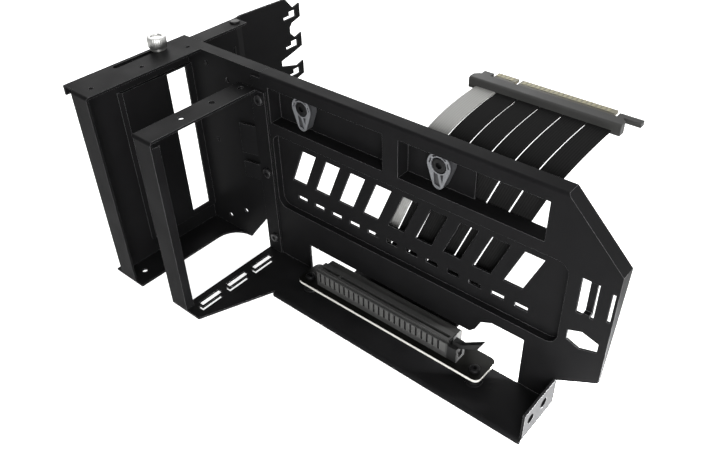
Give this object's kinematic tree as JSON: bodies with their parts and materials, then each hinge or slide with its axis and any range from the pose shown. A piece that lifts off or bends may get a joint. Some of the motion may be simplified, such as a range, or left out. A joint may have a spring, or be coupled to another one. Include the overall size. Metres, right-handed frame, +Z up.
{
  "type": "upright graphics card bracket",
  "caption": "Folded steel bracket that holds a graphics card upright beside a riser slot, with a sliding slot plate, turning clips and a flat ribbon ending in an edge plug.",
  "frame": {"origin": "on the underside of the rear frame's floor, the foot, in the plane of the main plate's front face, below the edge of the rear frame's top flange", "axes": "+X along the main plate away from the rear frame, +Y from the card side to the main board side, +Z up"},
  "size_m": [0.2797, 0.174, 0.1296],
  "materials": {
    "black_sheet": "satin powder coat",
    "dark_screw": "blackened",
    "bright_screw": "bright",
    "grey_clip": "matte",
    "slot_plastic": "satin",
    "board": "lacquer",
    "gold": "plated",
    "grey_ribbon": "woven tape",
    "black_ribbon": "satin",
    "plug_plastic": "matte",
    "plug_board": "lacquer"
  },
  "bodies": {
    "base": {"slot_plate": "black_sheet", "stop_rivet": "dark_screw"},
    "carriage": {"main_plate": "black_sheet", "card_frame": "black_sheet", "rear_frame": "black_sheet", "clip_screws": "dark_screw", "frame_screws": "dark_screw", "riser_board": "board", "riser_standoffs": "dark_screw", "riser_screws": "dark_screw", "card_slot": "slot_plastic", "slot_contacts": "gold", "ribbon_clamp": "plug_plastic", "ribbon_strip_1": "grey_ribbon", "ribbon_strip_2": "black_ribbon", "ribbon_strip_3": "black_ribbon", "ribbon_strip_4": "black_ribbon", "ribbon_strip_5": "black_ribbon", "ribbon_strip_6": "black_ribbon", "plug_body": "plug_plastic", "plug_board": "plug_board", "plug_fingers": "gold"},
    "thumb": {"thumbscrew": "bright_screw"},
    "left_clip": {"clip_left": "grey_clip"},
    "right_clip": {"clip_right": "grey_clip"},
    "latch": {"slot_latch": "slot_plastic"}
  },
  "joints": [
    {"name": "carriage_slide", "type": "slide", "parent": "base", "child": "carriage", "axis": [0, 1, 0], "range_m": [0, 0.028]},
    {"name": "thumb_turn", "type": "hinge", "parent": "base", "child": "thumb", "pos_m": [-0.019, -0.013, 0.122], "axis": [0, 0, 1], "continuous": true},
    {"name": "left_clip_turn", "type": "hinge", "parent": "carriage", "child": "left_clip", "pos_m": [0.0748, 0.005, 0.108], "axis": [0, 1, 0], "range_deg": [-90, 90]},
    {"name": "right_clip_turn", "type": "hinge", "parent": "carriage", "child": "right_clip", "pos_m": [0.1618, 0.005, 0.108], "axis": [0, 1, 0], "range_deg": [-90, 90]},
    {"name": "latch_tilt", "type": "hinge", "parent": "carriage", "child": "latch", "pos_m": [0.187, -0.0113, 0.016], "axis": [0, 1, 0], "range_deg": [0, 25]}
  ]
}
